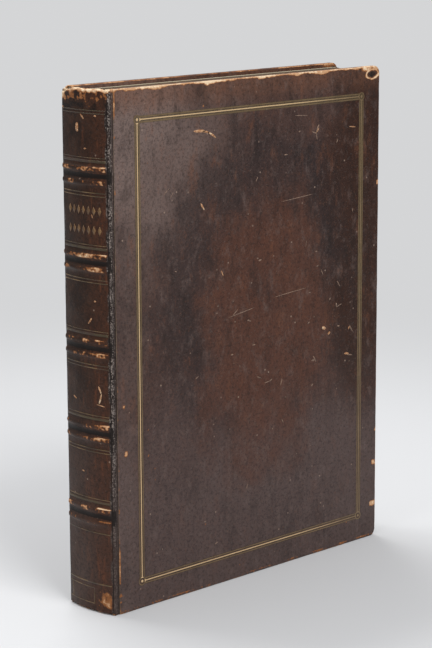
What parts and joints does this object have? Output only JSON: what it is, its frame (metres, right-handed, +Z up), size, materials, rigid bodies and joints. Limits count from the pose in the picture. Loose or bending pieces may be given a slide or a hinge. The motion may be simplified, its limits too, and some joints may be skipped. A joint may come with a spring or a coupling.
{
  "type": "antique leather book",
  "caption": "Large hand-bound folio book in worn dark leather, with raised double bands, gilt line frames and two covers that open on its spine.",
  "frame": {"origin": "bottom centre of the closed book's box, on the surface that it stands on", "axes": "+Z up from tail to head, +X from the spine to the fore edge, the front cover faces -Y"},
  "size_m": [0.3544, 0.0616, 0.465],
  "materials": {
    "leather": "worn satin",
    "leaves": "dusty matt edge",
    "endpaper": "aged matt",
    "board": "matt",
    "lining": "matt",
    "cord": "twisted hemp",
    "endband": "worked silk",
    "gilt": "dulled gold leaf"
  },
  "bodies": {
    "root": {"text_block": "leaves", "front_flyleaf": "endpaper", "back_flyleaf": "endpaper", "spine_lining": "lining", "head_endband": "endband", "tail_endband": "endband", "spine_leather": "leather", "spine_gilt_lines": "gilt", "band_1_upper_cord": "cord", "band_1_lower_cord": "cord", "band_2_upper_cord": "cord", "band_2_lower_cord": "cord", "band_3_upper_cord": "cord", "band_3_lower_cord": "cord", "band_4_upper_cord": "cord", "band_4_lower_cord": "cord", "band_5_upper_cord": "cord", "band_5_lower_cord": "cord"},
    "front_cover": {"front_board": "board", "front_cover_leather": "leather", "front_infill": "endpaper", "front_pastedown": "endpaper", "front_gilt_frame": "gilt"},
    "back_cover": {"back_board": "board", "back_cover_leather": "leather", "back_infill": "endpaper", "back_pastedown": "endpaper", "back_gilt_frame": "gilt"}
  },
  "joints": [
    {"name": "front_cover_hinge", "type": "hinge", "parent": "root", "child": "front_cover", "pos_m": [-0.16475, -0.03075, 0.2325], "axis": [0, 0, -1], "range_deg": [0, 180]},
    {"name": "back_cover_hinge", "type": "hinge", "parent": "root", "child": "back_cover", "pos_m": [-0.16475, 0.03075, 0.2325], "axis": [0, 0, 1], "range_deg": [0, 180]}
  ]
}
